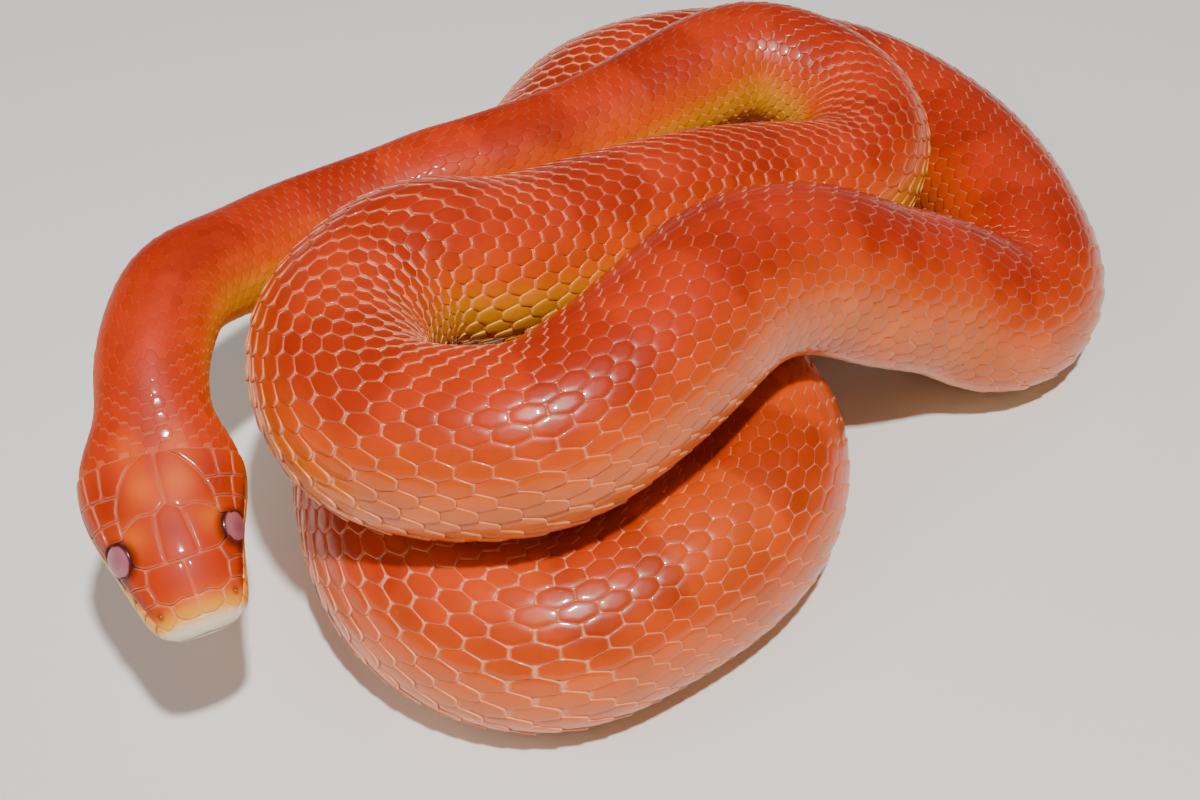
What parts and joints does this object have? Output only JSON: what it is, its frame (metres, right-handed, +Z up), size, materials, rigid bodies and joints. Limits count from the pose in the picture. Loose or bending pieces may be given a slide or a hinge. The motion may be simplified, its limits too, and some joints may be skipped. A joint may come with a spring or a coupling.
{
  "type": "corn snake model",
  "caption": "Still life-size corn snake lying in a loose pile of coils, head raised clear at one side, tail curled inside the ring.",
  "frame": {"origin": "middle of the bounding box's bottom, on the floor plane the coils rest on", "axes": "+Z up; the head faces -Y and a little +X, at the -X side; +X is to the right of the picture"},
  "size_m": [0.1438, 0.1512, 0.0515],
  "materials": {
    "scaled_skin": "glossy scaled skin",
    "head_plates": "glossy head plates",
    "eye_gloss": "wet eye"
  },
  "bodies": {
    "root": {"head": "head_plates", "eye_left": "eye_gloss", "eye_right": "eye_gloss", "neck": "scaled_skin", "torso_1": "scaled_skin", "torso_2": "scaled_skin", "torso_3": "scaled_skin", "torso_4": "scaled_skin", "torso_5": "scaled_skin", "torso_6": "scaled_skin", "torso_7": "scaled_skin", "torso_8": "scaled_skin", "torso_9": "scaled_skin", "torso_10": "scaled_skin", "torso_11": "scaled_skin", "torso_12": "scaled_skin", "torso_13": "scaled_skin", "tail_1": "scaled_skin", "tail_2": "scaled_skin"}
  },
  "joints": []
}
